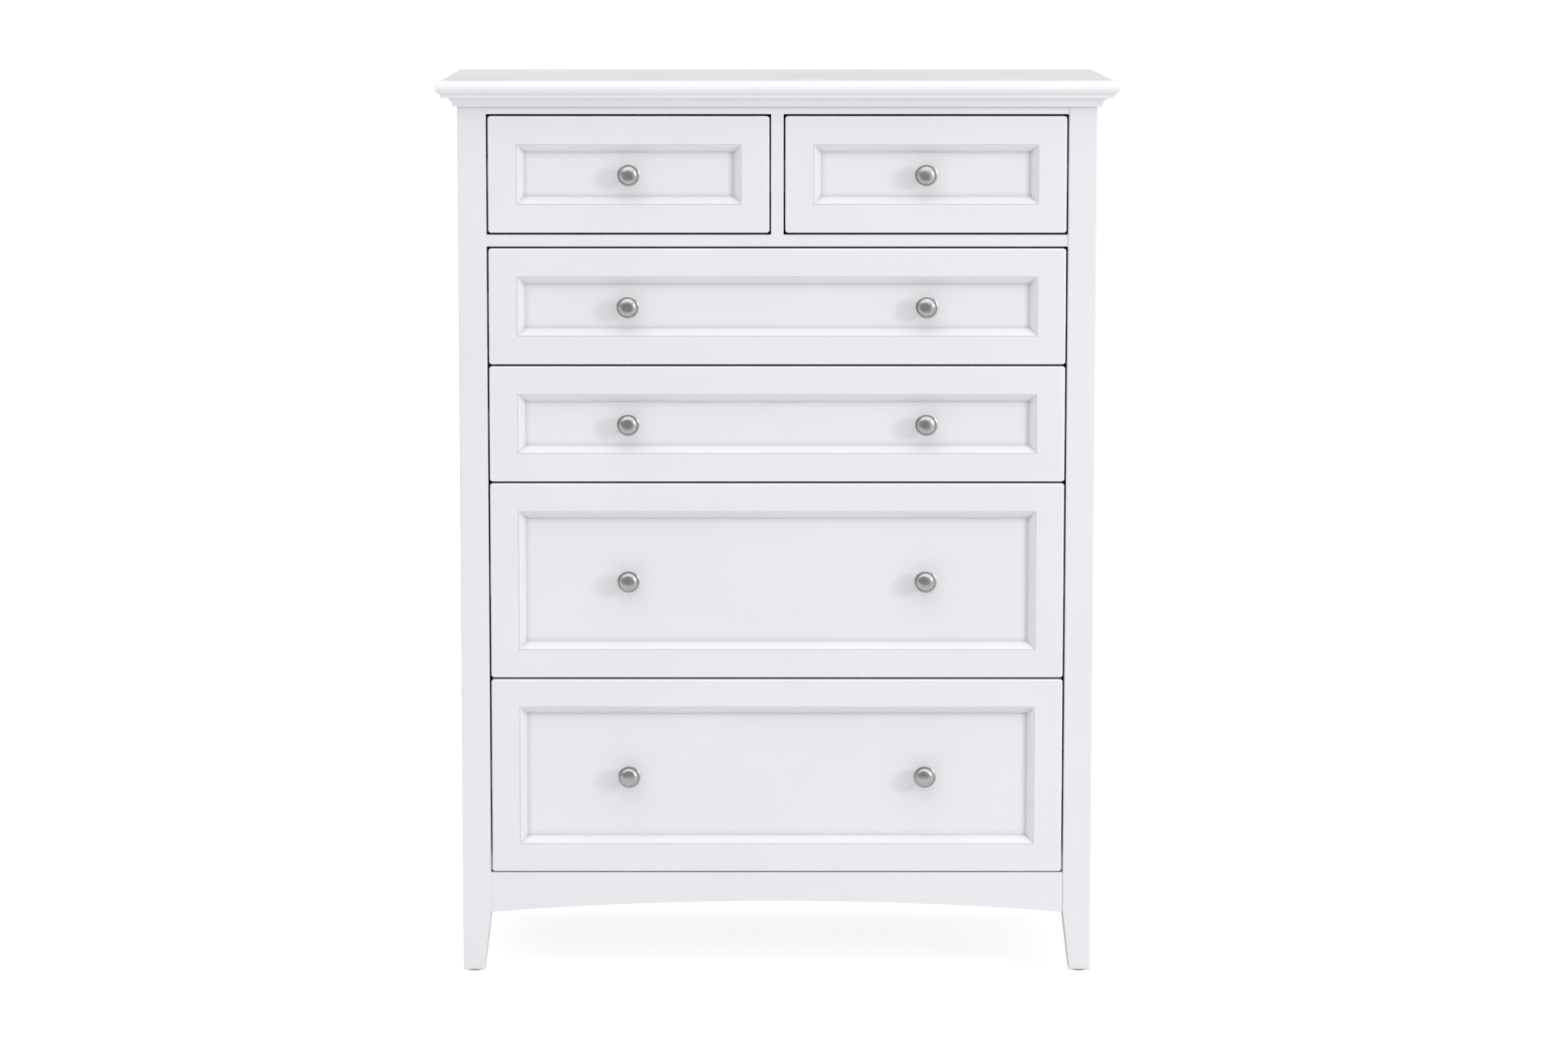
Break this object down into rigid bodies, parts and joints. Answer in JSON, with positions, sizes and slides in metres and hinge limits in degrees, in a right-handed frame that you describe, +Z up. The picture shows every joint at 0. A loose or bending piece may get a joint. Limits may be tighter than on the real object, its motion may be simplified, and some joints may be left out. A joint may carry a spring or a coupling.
{
  "type": "tall chest of drawers",
  "caption": "Tall white chest of drawers: small drawers over wide ones on slides, moulded top, arched apron, tapered feet.",
  "frame": {"origin": "on the floor under the middle of the top", "axes": "+Z up, +Y towards the back, +X to the right seen from the front; drawers open towards -Y"},
  "size_m": [0.99, 0.47, 1.32],
  "materials": {
    "white_lacquer": "satin white lacquer on wood",
    "birch": "clear-coated solid birch",
    "plywood": "sanded plywood",
    "zinc_steel": "bright zinc plate",
    "satin_nickel": "satin nickel",
    "felt": "pressed felt"
  },
  "bodies": {
    "case": {"top_panel": "white_lacquer", "crown_moulding": "white_lacquer", "front_leg_left": "white_lacquer", "front_leg_right": "white_lacquer", "rear_leg_left": "white_lacquer", "rear_leg_right": "white_lacquer", "side_panel_left": "white_lacquer", "side_panel_right": "white_lacquer", "side_rails": "white_lacquer", "back_panel": "plywood", "back_rails": "birch", "top_rail": "white_lacquer", "divider_rail": "white_lacquer", "centre_partition": "white_lacquer", "arched_apron": "white_lacquer", "slide_cleats": "birch", "case_slides": "zinc_steel", "floor_glides": "felt"},
    "top_left_drawer": {"top_left_front_frame": "white_lacquer", "top_left_front_panel": "white_lacquer", "top_left_box": "birch", "top_left_box_bottom": "plywood", "top_left_knob": "satin_nickel", "top_left_drawer_slides": "zinc_steel"},
    "top_left_slide_middles": {"top_left_middle_slides": "zinc_steel"},
    "top_right_drawer": {"top_right_front_frame": "white_lacquer", "top_right_front_panel": "white_lacquer", "top_right_box": "birch", "top_right_box_bottom": "plywood", "top_right_knob": "satin_nickel", "top_right_drawer_slides": "zinc_steel"},
    "top_right_slide_middles": {"top_right_middle_slides": "zinc_steel"},
    "second_drawer": {"second_front_frame": "white_lacquer", "second_front_panel": "white_lacquer", "second_box": "birch", "second_box_bottom": "plywood", "second_knobs": "satin_nickel", "second_drawer_slides": "zinc_steel"},
    "second_slide_middles": {"second_middle_slides": "zinc_steel"},
    "third_drawer": {"third_front_frame": "white_lacquer", "third_front_panel": "white_lacquer", "third_box": "birch", "third_box_bottom": "plywood", "third_knobs": "satin_nickel", "third_drawer_slides": "zinc_steel"},
    "third_slide_middles": {"third_middle_slides": "zinc_steel"},
    "fourth_drawer": {"fourth_front_frame": "white_lacquer", "fourth_front_panel": "white_lacquer", "fourth_box": "birch", "fourth_box_bottom": "plywood", "fourth_knobs": "satin_nickel", "fourth_drawer_slides": "zinc_steel"},
    "fourth_slide_middles": {"fourth_middle_slides": "zinc_steel"},
    "bottom_drawer": {"bottom_front_frame": "white_lacquer", "bottom_front_panel": "white_lacquer", "bottom_box": "birch", "bottom_box_bottom": "plywood", "bottom_knobs": "satin_nickel", "bottom_drawer_slides": "zinc_steel"},
    "bottom_slide_middles": {"bottom_middle_slides": "zinc_steel"}
  },
  "joints": [
    {"name": "top_left_drawer_open", "type": "slide", "parent": "case", "child": "top_left_drawer", "axis": [0, -1, 0], "range_m": [0, 0.35]},
    {"name": "top_left_slides_extend", "type": "slide", "parent": "case", "child": "top_left_slide_middles", "axis": [0, -1, 0], "range_m": [0, 0.175]},
    {"name": "top_right_drawer_open", "type": "slide", "parent": "case", "child": "top_right_drawer", "axis": [0, -1, 0], "range_m": [0, 0.35]},
    {"name": "top_right_slides_extend", "type": "slide", "parent": "case", "child": "top_right_slide_middles", "axis": [0, -1, 0], "range_m": [0, 0.175]},
    {"name": "second_drawer_open", "type": "slide", "parent": "case", "child": "second_drawer", "axis": [0, -1, 0], "range_m": [0, 0.35]},
    {"name": "second_slides_extend", "type": "slide", "parent": "case", "child": "second_slide_middles", "axis": [0, -1, 0], "range_m": [0, 0.175]},
    {"name": "third_drawer_open", "type": "slide", "parent": "case", "child": "third_drawer", "axis": [0, -1, 0], "range_m": [0, 0.35]},
    {"name": "third_slides_extend", "type": "slide", "parent": "case", "child": "third_slide_middles", "axis": [0, -1, 0], "range_m": [0, 0.175]},
    {"name": "fourth_drawer_open", "type": "slide", "parent": "case", "child": "fourth_drawer", "axis": [0, -1, 0], "range_m": [0, 0.35]},
    {"name": "fourth_slides_extend", "type": "slide", "parent": "case", "child": "fourth_slide_middles", "axis": [0, -1, 0], "range_m": [0, 0.175]},
    {"name": "bottom_drawer_open", "type": "slide", "parent": "case", "child": "bottom_drawer", "axis": [0, -1, 0], "range_m": [0, 0.35]},
    {"name": "bottom_slides_extend", "type": "slide", "parent": "case", "child": "bottom_slide_middles", "axis": [0, -1, 0], "range_m": [0, 0.175]}
  ],
  "couplings": [
    {"joint": "top_left_slides_extend", "follows": "top_left_drawer_open", "ratio": 0.5},
    {"joint": "top_right_slides_extend", "follows": "top_right_drawer_open", "ratio": 0.5},
    {"joint": "second_slides_extend", "follows": "second_drawer_open", "ratio": 0.5},
    {"joint": "third_slides_extend", "follows": "third_drawer_open", "ratio": 0.5},
    {"joint": "fourth_slides_extend", "follows": "fourth_drawer_open", "ratio": 0.5},
    {"joint": "bottom_slides_extend", "follows": "bottom_drawer_open", "ratio": 0.5}
  ]
}
